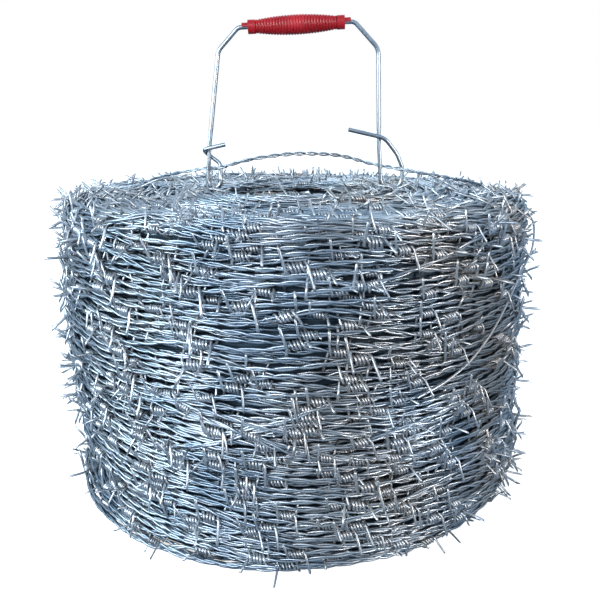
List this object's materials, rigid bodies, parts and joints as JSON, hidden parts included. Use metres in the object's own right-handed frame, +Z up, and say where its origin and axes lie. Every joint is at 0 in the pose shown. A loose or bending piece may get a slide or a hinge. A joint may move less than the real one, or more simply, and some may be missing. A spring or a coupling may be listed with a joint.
{
  "type": "barbed wire roll",
  "caption": "Galvanised barbed wire wound into a standing roll with an open bore, with a bent wire carry handle and a ribbed red plastic grip.",
  "frame": {"origin": "centre of the ring that the roll stands on, on the floor, on the roll's axis", "axes": "+Z up along the roll's bore, +X to the right along the line through the handle's two legs, -Y towards the viewer of the picture"},
  "size_m": [0.4449, 0.4439, 0.4257],
  "materials": {
    "galvanised_strand": "galvanised, satin",
    "handle_wire": "galvanised, satin",
    "grip_plastic": "moulded, semi-gloss"
  },
  "bodies": {
    "roll": {"wire_coil": "galvanised_strand", "over_strand": "galvanised_strand", "stray_wire": "galvanised_strand", "end_wire": "galvanised_strand", "barbs": "galvanised_strand"},
    "handle": {"handle_wire": "handle_wire"},
    "grip": {"handle_grip": "grip_plastic"}
  },
  "joints": [
    {"name": "handle_swing", "type": "hinge", "parent": "roll", "child": "handle", "pos_m": [0, 0, 0.29], "axis": [1, 0, 0], "range_deg": [-35, 35]},
    {"name": "grip_spin", "type": "hinge", "parent": "handle", "child": "grip", "pos_m": [0, 0, 0.4168], "axis": [0.9988, 0, 0.0489], "continuous": true}
  ]
}
